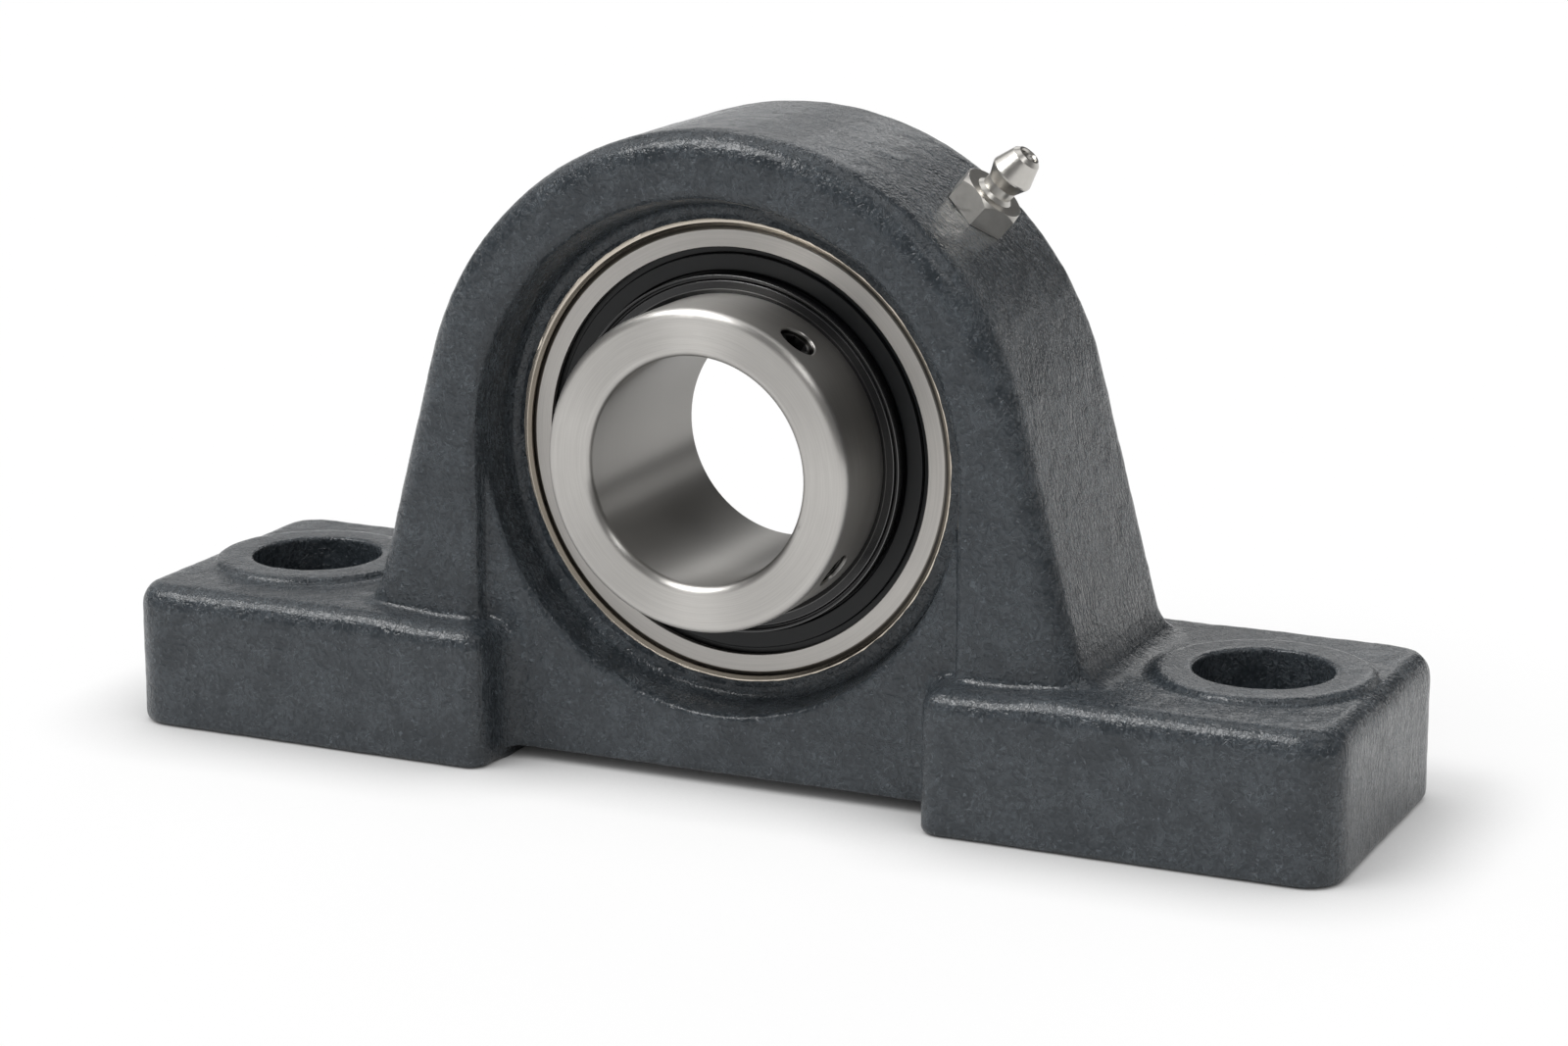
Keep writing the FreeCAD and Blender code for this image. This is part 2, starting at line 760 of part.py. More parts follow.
def make_cage():
    """Two pressed steel halves, each a ribbon with a pocket per ball, held
    together by rivets between the pockets."""
    middle = pitch_radius + s.cage_shift
    inner = middle - s.cage_width / 2
    outer = middle + s.cage_width / 2
    pocket = ball_radius + s.pocket_play
    shell = pocket + s.cage_sheet
    halves = []
    for side, name in ((-1, "cage_front_half"), (1, "cage_rear_half")):
        def span(reach):
            return (-reach, ZERO) if side < 0 else (ZERO, reach)
        low, high = span(s.cage_sheet)
        ribbon = tube(name + "_ribbon", inner, outer, low, high)
        low, high = span(shell)
        zone = tube(name + "_zone", inner, outer, low, high)
        cups = doc.addObject("Part::Common", name + "_cups")
        cups.Base = ring_of_solids(name + "_shells", helper_ball(shell), 0)
        cups.Tool = zone
        blank = doc.addObject("Part::MultiFuse", name + "_blank")
        blank.Shapes = [ribbon, cups]
        opened = doc.addObject("Part::Cut", name + "_opened")
        opened.Base = blank
        opened.Tool = ring_of_solids(name + "_pockets", helper_ball(pocket), 0)
        half = doc.addObject("Part::Cut", name)
        half.Label = name
        half.Base = opened
        half.Tool = ring_of_solids(
            name + "_rivet_holes",
            lambda item: round_bar(item, s.rivet_dia / 2, -s.cage_sheet * 2, s.cage_sheet * 2),
            0.5)
        halves.append(half)
    return halves


def make_rivets():
    """Rivets with a round head each side, one between each pair of balls."""
    head = s.rivet_head_dia / 2
    reach = s.cage_sheet + s.rivet_head_height
    parts = []
    for name, radius, low, high in (
            ("cage_rivet_stems", s.rivet_dia / 2, -s.cage_sheet, s.cage_sheet),
            ("cage_rivet_front_heads", head, -reach, -s.cage_sheet),
            ("cage_rivet_rear_heads", head, s.cage_sheet, reach)):
        parts.append(ring_of_solids(
            name, lambda item: round_bar(item, radius, low, high), 0.5))
    rivets = doc.addObject("Part::MultiFuse", "cage_rivets")
    rivets.Label = "cage_rivets"
    rivets.Shapes = parts
    return rivets


def make_seal(end, side):
    """A rubber washer, moulded to a pressed steel core, snapped into the outer
    ring, with a lip that runs on the inner ring."""
    half = s.ring_width / 2
    back = half - s.seal_rubber_back
    channel = back + s.seal_channel_depth
    face = half - s.seal_face_inset
    edge = land_radius + s.seal_groove_depth - s.seal_fit
    face_out = land_radius
    face_in = land_radius - s.seal_face_width
    lip = collar_radius + s.seal_lip_gap
    lip_top = back + s.seal_lip_width
    core_in = collar_radius + s.seal_core_gap
    core_low = back - s.seal_core_sheet

    def mirrored(path):
        return [(x, y * side) for x, y in path]

    rubber = new_body(f"{end}_seal_lip")
    sketch = sketch_on(rubber, "XY", "section")
    draw_outline(sketch, mirrored([
        (lip, back),
        (edge, back),
        (edge, channel),
        (face_out, channel),
        (face_out, face),
        (face_in, face),
        (face_in, channel),
        (lip + s.seal_lip_width * 2, channel),
        (lip, lip_top),
    ]))
    turned(rubber, "Revolution", sketch, "moulded")
    core = new_body(f"{end}_seal_core")
    sketch = sketch_on(core, "XY", "section")
    path = rectangle(core_in, edge, core_low, back)
    draw_outline(sketch, mirrored(path))
    turned(core, "Revolution", sketch, "pressed")
    return [rubber, core]


def make_flinger():
    """A stepped black washer pressed on the collar; it throws dirt off the seal."""
    flinger = new_body("front_flinger")
    back = s.ring_width / 2 - s.seal_rubber_back + s.seal_channel_depth + s.flinger_gap
    front = back + s.flinger_depth
    rim = land_radius - s.seal_face_width - s.flinger_gap
    step_1 = rim - s.flinger_rim
    step_2 = step_1 - s.flinger_groove
    step_3 = step_2 - s.flinger_slope
    step_4 = collar_radius + s.flinger_bevel
    low = front - s.flinger_step
    sketch = sketch_on(flinger, "XY", "section")
    draw_outline(sketch, [
        (collar_radius, -back),
        (rim, -back),
        (rim, -front),
        (step_1, -front),
        (step_1, -low),
        (step_2, -low),
        (step_3, -low - s.flinger_ridge),
        (step_4, -low - s.flinger_ridge),
        (collar_radius, -low),
    ])
    turned(flinger, "Revolution", sketch, "pressed")
    return flinger


def stand_out(body, angle):
    """Turn a body made upright about Y, so that it points out at an angle."""
    body.Placement = Placement(Vector(), Rotation(Vector(0, 1, 0), 1.0))
    bind(body, ".Placement.Rotation.Angle", angle)


def make_set_screw(name, angle):
    """Black socket set screw with a cup point, screwed into the collar."""
    screw = new_body(name)
    radius = s.screw_thread_dia / 2 - s.screw_clearance
    top = collar_radius - s.screw_sink
    point = top - s.screw_length
    cup = s.screw_cup_dia / 2
    sketch = sketch_on(screw, "XZ", "section")
    draw_outline(sketch, [
        (ZERO, point + s.screw_cup_depth),
        (cup, point),
        (radius - s.screw_point_chamfer, point),
        (radius, point + s.screw_point_chamfer),
        (radius, top - s.screw_edge_round),
        (radius - s.screw_edge_round, top),
        (ZERO, top),
    ])
    turned(screw, "Revolution", sketch, "rolled")
    socket = sketch_on(screw, "XY", "socket", height=top)
    draw_outline(socket, hexagon(s.screw_socket_flats, s.screw_socket_turn))
    prism(screw, "Pocket", socket, "socket_bore", s.screw_socket_depth)
    stand_out(screw, 90 - angle)
    bind(screw, ".Placement.Base.y", s.screw_setback - s.collar_front)
    return screw


def make_nipple():
    """Plated steel grease nipple with a hexagon, a check ball and its spring."""
    nipple = new_body("grease_nipple_body")
    thread = s.nipple_thread_dia / 2
    neck = s.nipple_neck_dia / 2
    head = s.nipple_head_dia / 2
    tip = s.nipple_tip_dia / 2
    hex_top = nipple_base + s.nipple_hex_height
    neck_top = hex_top + s.nipple_neck_length
    band_low = neck_top + s.nipple_flare_length
    band_high = band_low + s.nipple_head_band
    tip_edge = band_high + s.nipple_taper_length
    tip_top = tip_edge + s.nipple_tip_round
    sketch = sketch_on(nipple, "XZ", "section")
    draw_outline(sketch, [
        (ZERO, nipple_base - s.nipple_thread_length),
        (thread, nipple_base - s.nipple_thread_length),
        (thread, hex_top),
        (neck + s.nipple_neck_round, hex_top),
        (neck, hex_top + s.nipple_neck_round),
        (neck, neck_top),
        (head, band_low),
        (head, band_high),
        (tip, tip_edge),
        (tip - s.nipple_tip_round, tip_top),
        (ZERO, tip_top),
    ])
    turned(nipple, "Revolution", sketch, "turned")
    flats = sketch_on(nipple, "XY", "hexagon", height=nipple_base)
    draw_outline(flats, hexagon(s.nipple_flats, s.nipple_turn))
    prism(nipple, "Pad", flats, "hexagon_block", s.nipple_hex_height)
    bevel = sketch_on(nipple, "XZ", "hexagon_bevel")
    corner = s.nipple_flats / math.sqrt(3)
    draw_outline(bevel, [
        (corner + s.nipple_hex_chamfer, hex_top),
        (s.nipple_flats / 2, hex_top),
        (corner + s.nipple_hex_chamfer, hex_top - s.nipple_hex_bevel),
    ])
    turned(nipple, "Groove", bevel, "hexagon_edge")
    seat = tip_top - s.nipple_lip
    floor = hex_top - s.nipple_bore_floor
    bore = sketch_on(nipple, "XZ", "bore")
    passage = s.nipple_passage_dia / 2
    chamber = s.nipple_bore_dia / 2
    draw_outline(bore, [
        (ZERO, nipple_base - s.nipple_thread_length),
        (passage, nipple_base - s.nipple_thread_length),
        (passage, floor),
        (chamber, floor),
        (chamber, seat),
        (passage, seat),
        (passage, tip_top - s.nipple_tip_round / 2),
        (passage + s.nipple_tip_round / 4, tip_top),
        (ZERO, tip_top),
    ])
    turned(nipple, "Groove", bore, "bore_cut")
    stand_out(nipple, s.nipple_angle)
    bind(nipple, ".Placement.Base.y", s.nipple_shift)

    ball = doc.addObject("Part::Sphere", "nipple_check_ball")
    ball.Label = "nipple_check_ball"
    ball_r = s.check_ball_dia / 2
    centre = seat - leg_of(ball_r, passage) - s.check_ball_play
    bind(ball, "Radius", ball_r)
    bind(ball, ".Placement.Base.x", centre * sine(s.nipple_angle))
    bind(ball, ".Placement.Base.y", s.nipple_shift)
    bind(ball, ".Placement.Base.z", centre * cosine(s.nipple_angle))
    return [nipple, ball, make_spring(floor, centre - ball_r)]


def make_spring(floor, ceiling):
    """A wire coil between the floor of the nipple's chamber and its check ball."""
    wire = s.spring_wire_dia.number / 2
    coil = s.nipple_bore_dia.number / 2 - wire * 2
    low = floor.number + wire
    height = ceiling.number - floor.number - wire * 2
    path = Part.makeHelix(height / s.spring_turns.number, height, coil)
    section = Part.Wire([Part.makeCircle(wire, Vector(coil, 0, 0), Vector(0, 1, 0))])
    spring = doc.addObject("Part::Feature", "nipple_spring")
    spring.Label = "nipple_spring"
    spring.Shape = Part.Wire(path).makePipeShell([section], True, True)
    turn = Rotation(Vector(0, 1, 0), s.nipple_angle.number)
    start = turn.multVec(Vector(0, 0, low)) + Vector(0, s.nipple_shift.number, 0)
    spring.Placement = Placement(start, turn)
    return spring


pieces = [make_housing(), make_alignment_pin(), make_outer_ring(), make_inner_ring()]
pieces += list(make_balls())
pieces += make_cage()
pieces.append(make_rivets())
pieces += make_seal("front", -1)
pieces += make_seal("rear", 1)
pieces.append(make_flinger())
pieces.append(make_set_screw("set_screw_upper", s.screw_upper_angle))
pieces.append(make_set_screw("set_screw_lower", s.screw_lower_angle))
pieces += make_nipple()
doc.recompute()

for item in doc.Objects:
    if "Invalid" in item.State or "Error" in item.State:
        raise RuntimeError(f"{item.Name} failed: {item.State}")
for piece in pieces:
    if piece.Shape.isNull() or not piece.Shape.isValid():
        raise RuntimeError(f"{piece.Label} has no valid shape")

os.makedirs("parts", exist_ok=True)
for piece in pieces:
    piece.Shape.exportStep(f"parts/{piece.Label}.step")
    print(f"{piece.Label}: {len(piece.Shape.Solids)} solids, {piece.Shape.Volume:.2f} mm3")
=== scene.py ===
import math

import bpy
import numpy as np
from mathutils import Matrix, Vector, noise


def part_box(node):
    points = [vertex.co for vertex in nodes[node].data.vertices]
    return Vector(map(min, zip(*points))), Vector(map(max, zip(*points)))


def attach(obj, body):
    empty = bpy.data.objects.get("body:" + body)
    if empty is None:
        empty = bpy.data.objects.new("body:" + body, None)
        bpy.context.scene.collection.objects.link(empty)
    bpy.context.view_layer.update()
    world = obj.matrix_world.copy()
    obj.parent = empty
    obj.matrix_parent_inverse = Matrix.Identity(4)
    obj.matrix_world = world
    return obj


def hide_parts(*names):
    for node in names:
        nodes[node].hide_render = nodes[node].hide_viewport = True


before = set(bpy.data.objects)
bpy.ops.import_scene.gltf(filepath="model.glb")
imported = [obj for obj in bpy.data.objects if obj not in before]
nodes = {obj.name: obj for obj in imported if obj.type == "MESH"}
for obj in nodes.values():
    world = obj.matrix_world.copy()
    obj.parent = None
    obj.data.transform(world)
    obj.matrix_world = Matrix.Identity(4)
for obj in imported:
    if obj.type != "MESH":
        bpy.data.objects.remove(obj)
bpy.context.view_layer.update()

# Housing: one grey iron casting with two feet, an arch on flared legs and a web below.
# The sand mould leaves its edges soft and its skin uneven, and glossy slate paint is
# sprayed over it, which wrinkles finely as it dries.
MM = 0.001
SAND_GRAIN = 0.5
SOFT_PASSES = 3
FOOT_TOP = -20.5
LAND_TOP = -19.2
FOOT_FILL = 0.55
FOOT_FROM = 34
FOOT_BLEND = 6
FOOT_FLANK = 3.5
WELD_GAP = 0.001
# height in millimetres, and how many swells to the millimetre
SWELLS = [(0.05, 0.12), (0.05, 0.4), (0.035, 0.9)]
SKIN_DOWN = 0.03
SEAT_BACK = 27.0
SEAT_BACK_HALF = 7.7
PAINT_EDGE = 25.5
SEAT_FACE = 8.2
SLATE = (0.022, 0.027, 0.032, 1)
# the pale end of the paint's tone: pale tone at random, and painted highlight on the raised
# relief
SLATE_PALE_AND_HIGHLIGHT = (0.078, 0.091, 0.103, 1)
BARE_IRON = (0.62, 0.56, 0.48, 1)


class Reading:
    """A value on its way through a finish. Sums and products of readings add nodes."""

    def __init__(self, recipe, socket):
        self.recipe = recipe
        self.socket = socket

    def worked(self, operation, *values):
        return self.recipe.node("ShaderNodeMath", {"operation": operation},
                                dict(enumerate(values)))

    def __add__(self, other):
        return self.worked("ADD", self, other)

    def __sub__(self, other):
        return self.worked("SUBTRACT", self, other)

    def __rsub__(self, other):
        return self.worked("SUBTRACT", other, self)

    def __mul__(self, other):
        return self.worked("MULTIPLY", self, other)

    def __truediv__(self, other):
        return self.worked("DIVIDE", self, other)

    def __pow__(self, other):
        return self.worked("POWER", self, other)

    def __abs__(self):
        return self.worked("ABSOLUTE", self)

    __radd__ = __add__
    __rmul__ = __mul__

    def step(self, low, high):
        """0 at low, 1 at high and a soft slope between. Low may be the greater."""
        return self.recipe.node(
            "ShaderNodeMapRange", {"interpolation_type": "SMOOTHSTEP"},
            {"Value": self, "From Min": low, "From Max": high})


class Recipe:
    """The nodes of one finish, or of the room's light."""

    def __init__(self, tree):
        self.tree = tree

    def feed(self, socket, value):
        if isinstance(value, Reading):
            self.tree.links.new(value.socket, socket)
        else:
            socket.default_value = value

    def node(self, kind, settings=None, values=None, output=0):
        made = self.tree.nodes.new(kind)
        for name, setting in (settings or {}).items():
            setattr(made, name, setting)
        for name, value in (values or {}).items():
            self.feed(made.inputs[name], value)
        return Reading(self, made.outputs[output]) if made.outputs else None

    def place(self, stretch=(1, 1, 1)):
        """Where the surface is in its own piece, in millimetres."""
        metres = self.node("ShaderNodeTexCoord", output="Object")
        return self.node("ShaderNodeVectorMath", {"operation": "MULTIPLY"},
                         {0: metres, 1: tuple(s / MM for s in stretch)})

    def facing(self):
        """The surface's own normal, without its relief."""
        return self.node("ShaderNodeTexCoord", output="Normal")

    def part(self, vector, axis):
        return self.node("ShaderNodeSeparateXYZ", values={0: vector}, output=axis)

    def from_axis(self, place):
        """How far the surface is from its own piece's upright axis."""
        x = self.part(place, "X")
        y = self.part(place, "Y")
        return (x * x + y * y) ** 0.5

    def cloud(self, place, per_mm, detail=2.0, warp=0.0):
        """A soft random pattern from 0 to 1, with so many spots to the millimetre."""
        return self.node("ShaderNodeTexNoise", values={
            "Vector": place, "Scale": per_mm, "Detail": detail, "Distortion": warp})

    def blend(self, share, first, second):
        return self.node("ShaderNodeMix", {"data_type": "RGBA"},
                         {0: share, 6: first, 7: second}, output=2)

    def relief(self, height):
        """A fine relief whose height is given in millimetres."""
        return self.node("ShaderNodeBump", values={"Height": height, "Distance": MM})


def finish(name, mixed):
    """A material: mixed(recipe) gives what goes on the surface's sockets."""
    material = bpy.data.materials.new(name)
    material.use_nodes = True
    recipe = Recipe(material.node_tree)
    surface = material.node_tree.nodes["Principled BSDF"]
    for socket, value in mixed(recipe).items():
        recipe.feed(surface.inputs[socket], value)
    return material


def cast_paint(recipe):
    place = recipe.place()
    x = recipe.part(place, "X")
    y = recipe.part(place, "Y")
    z = recipe.part(place, "Z")
    radius = (x * x + z * z) ** 0.5
    up_left = ((z - x) / radius).step(0.5, 1.3)
    drift = recipe.cloud(place, 0.5, 3.0)
    paint_edge = PAINT_EDGE + (drift - 0.5) * 0.35 + 0.3 * up_left
    bare = (paint_edge - radius).step(-0.04, 0.04) * (abs(y) - SEAT_FACE).step(0.05, -0.05)
    painted = 1 - bare
    flank = abs(recipe.part(recipe.facing(), "X")).step(0.55, 0.85)
    runs = recipe.cloud(recipe.place((2.2, 2.2, 0.45)), 1.0, 2.0, 0.8) * flank
    patches = recipe.cloud(place, 0.22, 3.0)
    worms = recipe.cloud(place, 0.9, 1.5, 1.8)
    wrinkles = abs(worms - 0.5).step(0.05, 0.01) * patches.step(0.40, 0.56)
    swells = recipe.cloud(place, 0.45, 1.0)
    grains = recipe.cloud(place, 2.4, 1.0, 0.6)
    pimples = grains.step(0.62, 0.72)
    skin = (swells * 0.10 + worms * 0.15 + runs * 0.22 + grains * 0.09
            + wrinkles * 0.08 + pimples * 0.11)
    turning = recipe.cloud(recipe.place((0.15, 9, 0.15)), 1.0, 2.0)
    # The tone varies at random, and it also rises with the relief: painted highlight on the
    # raised worms, wrinkles, runs and pimples, and painted shade in the hollows between them.
    tone = (patches * 0.25 + worms * 0.3 + grains * 0.2 + runs * 0.25 + 0.125 * (1 - flank)
            + wrinkles * 0.15 + pimples * 0.25).step(0.38, 0.76)
    return {
        "Base Color": recipe.blend(bare, recipe.blend(tone, SLATE, SLATE_PALE_AND_HIGHLIGHT), BARE_IRON),
        "Metallic": bare,
        "Roughness": 0.19 + (worms - 0.5) * 0.1 * painted,
        "Specular IOR Level": 0.34,
        "Coat Weight": painted * 0.2,
        "Coat Roughness": 0.12,
        "Normal": recipe.relief(skin * painted + turning * 0.006 * bare),
    }


def cast_skin(solid):
    """The sharp solid with the soft edges and the uneven skin of a sand casting."""
    blank = bpy.data.objects.new("blank", solid.data.copy())
    bpy.context.scene.collection.objects.link(blank)
    blank.modifiers.new("weld", "WELD").merge_threshold = WELD_GAP * MM
    grain = blank.modifiers.new("grain", "REMESH")
    grain.mode = "VOXEL"
    grain.voxel_size = SAND_GRAIN * MM
    grain.use_smooth_shade = True
    pattern = blank.modifiers.new("pattern", "SHRINKWRAP")
    pattern.target = solid
    soft = blank.modifiers.new("soft", "SMOOTH")
    soft.iterations = SOFT_PASSES
    graph = bpy.context.evaluated_depsgraph_get()
    mesh = bpy.data.meshes.new_from_object(blank.evaluated_get(graph))
    bpy.data.objects.remove(blank)
    count = len(mesh.vertices)
    points = np.zeros(count * 3)
    normals = np.zeros(count * 3)
    mesh.vertices.foreach_get("co", points)
    mesh.vertex_normals.foreach_get("vector", normals)
    points = points.reshape(-1, 3) / MM
    normals = normals.reshape(-1, 3)
    swell = [sum(height * noise.noise(Vector(p) * per_mm) for height, per_mm in SWELLS)
             for p in points]
    points += normals * (np.array(swell) - SKIN_DOWN)[:, None]
    on_foot = np.clip((np.abs(points[:, 0]) - FOOT_FROM) / FOOT_BLEND, 0, 1)
    points[:, 2] += on_foot * np.interp(
        points[:, 2], [FOOT_TOP - FOOT_FLANK, FOOT_TOP, LAND_TOP], [0, FOOT_FILL, 0])
    radius = np.hypot(points[:, 0], points[:, 2])
    hidden = (radius < SEAT_BACK) & (np.abs(points[:, 1]) < SEAT_BACK_HALF)
    outward = (SEAT_BACK / np.maximum(radius[hidden], 1))[:, None]
    points[hidden] *= np.where([True, False, True], outward, 1.0)
    low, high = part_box("housing")
    points = np.clip(points, np.array(low) / MM, np.array(high) / MM)
    mesh.vertices.foreach_set("co", (points * MM).ravel())
    mesh.update()
    return mesh


def add_piece(name, mesh, material, body, slot, *replaced, stand=None):
    """Put a mesh in the scene as a piece that rides on a body, for these CAD nodes."""
    piece = bpy.data.objects.new(name, mesh)
    bpy.context.scene.collection.objects.link(piece)
    if stand is not None:
        piece.matrix_world = stand
    mesh.materials.clear()
    mesh.materials.append(material)
    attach(piece, body)
    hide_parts(*replaced)


paint = finish("cast_paint", cast_paint)
add_piece("housing_casting", cast_skin(nodes["housing"]), paint,
          "housing", "housing_paint", "housing")


# Seat: the mouth and the sphere that carry the bearing are turned in the casting after
# it is painted, so they are bare iron, and the paint ends in a ragged line round them.
MOUTH = 25.0
MOUTH_BEVEL = 0.35
SEAT_HALF = 8.0
SEAT_SPHERE = 26.05
GREASE_GROOVE = (26.95, 0.5, 5.5)
SEAT_SHELL = 27.4
LOADING_SLOT = 7.7
PIN_SLOT = (1.3, 2.35, 27.55)
SEAT_EDGE = 0.06
SHELL_SLOPE = (1.2, 0.6)
SHELL_STEP = 0.02
CUT_OVER = 1
CUT_UNDER = 2
ROUND_SIDES = 240
ROUND_STEP = math.radians(11)
ARC_STEP = math.radians(4)
SHARP = math.radians(30)
SHAFT_UP = Matrix.Rotation(math.radians(-90), 4, "X")


class Turned:
    """A turned mesh with its axis upright in its own frame. Points and normals come in
    the housing's frame, in millimetres, with the shaft along Y."""

    def __init__(self):
        self.numbers = {}
        self.faces = []
        self.normals = []

    def face(self, *corners):
        ring = []
        for point, normal in corners:
            key = tuple(round(c, 4) for c in point)
            number = self.numbers.setdefault(key, len(self.numbers))
            if number not in [n for n, _ in ring]:
                ring.append((number, normal))
        if len(ring) > 2:
            self.faces.append([n for n, _ in ring])
            self.normals += [normal for _, normal in ring]

    def sweep(self, sides):
        """Sweep a section once round the shaft."""
        angles = [2 * math.pi * k / ROUND_SIDES for k in range(ROUND_SIDES)]
        ways = [(math.sin(a), math.cos(a)) for a in angles]
        for a, b in sides:
            for k, here in enumerate(ways):
                there = ways[(k + 1) % ROUND_SIDES]
                self.face(*[((r * c, y, r * s), (n.x * c, n.y, n.x * s))
                            for (r, y, n), (s, c) in
                            ((a, here), (b, here), (b, there), (a, there))])

    def mesh(self, name):
        def upright(p):
            return Vector((p[0], -p[2], p[1]))
        mesh = bpy.data.meshes.new(name)
        mesh.from_pydata([upright(p) * MM for p in self.numbers], [], self.faces)
        mesh.shade_smooth()
        mesh.normals_split_custom_set([upright(n).normalized() for n in self.normals])
        return mesh


def section(corners):
    """The sides of a closed turned section, as pairs of (radius, y, normal). A sharp
    corner is (radius, y) and a rounded one (radius, y, rounding). One that an arc
    starts from is sharp too: (radius, y, 0, the arc's centre). The arc runs to the next
    corner. The metal lies on the left."""
    count = len(corners)
    sides = []
    starts = {}
    ends = {}
    for i, corner in enumerate(corners):
        here = Vector(corner[:2])
        starts[i] = ends[i] = here
        rounding = corner[2] if len(corner) == 3 else 0
        if not rounding:
            continue
        way_in = (here - Vector(corners[i - 1][:2])).normalized()
        way_out = (Vector(corners[(i + 1) % count][:2]) - here).normalized()
        turn = -way_in.angle_signed(way_out)
        side = math.copysign(1, turn)
        reach = rounding * math.tan(abs(turn) / 2)
        normal = Vector((way_in.y, -way_in.x))
        ends[i] = here - way_in * reach
        starts[i] = here + way_out * reach
        centre = ends[i] - normal * rounding * side
        steps = max(2, math.ceil(abs(turn) / ROUND_STEP))
        arc = []
        for k in range(steps + 1):
            turned = Matrix.Rotation(turn * k / steps, 2) @ normal
            arc.append((*(centre + turned * rounding * side), turned))
        sides += [(i, a, b) for a, b in zip(arc, arc[1:])]
    for i, corner in enumerate(corners):
        a = starts[i]
        b = ends[(i + 1) % count]
        if len(corner) == 4:
            centre = Vector(corner[3])
            spread = -(a - centre).angle_signed(b - centre)
            steps = math.ceil(abs(spread) / ARC_STEP)
            side = math.copysign(1, spread)
            arc = []
            for k in range(steps + 1):
                arm = Matrix.Rotation(spread * k / steps, 2) @ (a - centre)
                arc.append((*(centre + arm), arm.normalized() * side))
            sides += [(i + 0.5, p, q) for p, q in zip(arc, arc[1:])]
        elif (b - a).length > 1e-6:
            way = (b - a).normalized()
            normal = Vector((way.y, -way.x))
            sides.append((i + 0.5, (*a, normal), (*b, normal)))
    return [(a, b) for _, a, b in sorted(sides, key=lambda side: side[0])]


def turned_mesh(name, corners):
    shape = Turned()
    shape.sweep(section(corners))
    return shape.mesh(name)


def block(name, low, high):
    """A plain box that only serves as a cutter."""
    points = [Vector([(low, high)[i >> axis & 1][axis] for axis in range(3)]) * MM
              for i in range(8)]
    mesh = bpy.data.meshes.new(name)
    mesh.from_pydata(points, [], [(0, 2, 3, 1), (4, 5, 7, 6), (0, 1, 5, 4),
                                  (2, 6, 7, 3), (0, 4, 6, 2), (1, 3, 7, 5)])
    cutter = bpy.data.objects.new(name, mesh)
    bpy.context.scene.collection.objects.link(cutter)
    return cutter


def cut_away(mesh, cutters):
    """The mesh less the cutters, smooth but for its sharp corners."""
    work = bpy.data.objects.new("work", mesh)
    bpy.context.scene.collection.objects.link(work)
    for cutter in cutters:
        modifier = work.modifiers.new(cutter.name, "BOOLEAN")
        modifier.object = cutter
        modifier.solver = "EXACT"
    graph = bpy.context.evaluated_depsgraph_get()
    left = bpy.data.meshes.new_from_object(work.evaluated_get(graph))
    for used in [work, *cutters]:
        bpy.data.objects.remove(used)
    left.shade_smooth()
    left.set_sharp_from_angle(angle=SHARP)
    return left


bevel_start = MOUTH + MOUTH_BEVEL
sphere_half = math.sqrt(SEAT_SPHERE ** 2 - MOUTH ** 2)
groove_radius, groove_low, groove_high = GREASE_GROOVE
slope_in, slope_along = SHELL_SLOPE
seat = turned_mesh("seat", [
    (bevel_start, -SEAT_HALF, SEAT_EDGE),
    (SEAT_SHELL - slope_in, -SEAT_HALF + SHELL_STEP),
    (SEAT_SHELL, -SEAT_HALF + slope_along),
    (SEAT_SHELL, SEAT_HALF - slope_along),
    (SEAT_SHELL - slope_in, SEAT_HALF - SHELL_STEP),
    (bevel_start, SEAT_HALF, SEAT_EDGE),
    (MOUTH, SEAT_HALF - MOUTH_BEVEL, SEAT_EDGE),
    (MOUTH, sphere_half, 0, (0, 0)),
    (math.sqrt(SEAT_SPHERE ** 2 - groove_high ** 2), groove_high),
    (groove_radius, groove_high),
    (groove_radius, groove_low),
    (math.sqrt(SEAT_SPHERE ** 2 - groove_low ** 2), groove_low, 0, (0, 0)),
    (MOUTH, -sphere_half),
    (MOUTH, -SEAT_HALF + MOUTH_BEVEL, SEAT_EDGE),
])
seat.transform(SHAFT_UP)
slot_x, slot_y, slot_top = PIN_SLOT
seat = cut_away(seat, [
    block("loading_slots", (-SEAT_SPHERE, 0, -LOADING_SLOT),
          (SEAT_SPHERE, SEAT_HALF + CUT_OVER, LOADING_SLOT)),
    block("pin_slot", (-slot_x, -slot_y, MOUTH - CUT_UNDER),
          (slot_x, slot_y, slot_top)),
])
add_piece("housing_seat", seat, paint, "housing", "housing_paint")


# Alignment pin: a short hardened pin in the outer ring that runs in a slot at the top of
# the seat. It is ground, and hidden once the bearing is in.
def ground_steel(recipe):
    streaks = recipe.cloud(recipe.place((0.6, 6, 0.6)), 1.0, 3.0)
    return {
        "Base Color": recipe.blend(streaks, (0.42, 0.42, 0.42, 1), (0.62, 0.62, 0.62, 1)),
        "Metallic": 1.0,
        "Roughness": 0.24 + streaks * 0.14,
        "Normal": recipe.relief(streaks * 0.004),
    }


def dress(name, material):
    """Give a CAD node that keeps its own shape its finish."""
    for place in nodes[name].material_slots:
        place.material = material


ground = finish("ground_steel", ground_steel)
dress("alignment_pin", ground)


# Outer ring: bearing steel, ground all over, with a spherical outside that swivels in the
# seat and a deep groove for the balls. Its front face shows as a bright satin band.
SPHERE = 26.0
RING_HALF = 7.5
RING_CHAMFER = 0.4
FACE_INNER = 22.598
LAND = 21.898
SEAL_GROOVE = (23.198, 6.9, 5.4)
BALL_RADIUS = 3.969
BALL_PLAY = 0.03
PITCH = 19.499
RACE_RADIUS = 4.128
RING_EDGE = 0.1
DARK_FROM = 24.60
DARK_FADE = 0.06
RING_STEEL = (0.52, 0.50, 0.475, 1)
RING_STEEL_DARK = (0.42, 0.405, 0.385, 1)
RING_CHAMFER_DARK = (0.16, 0.155, 0.15, 1)


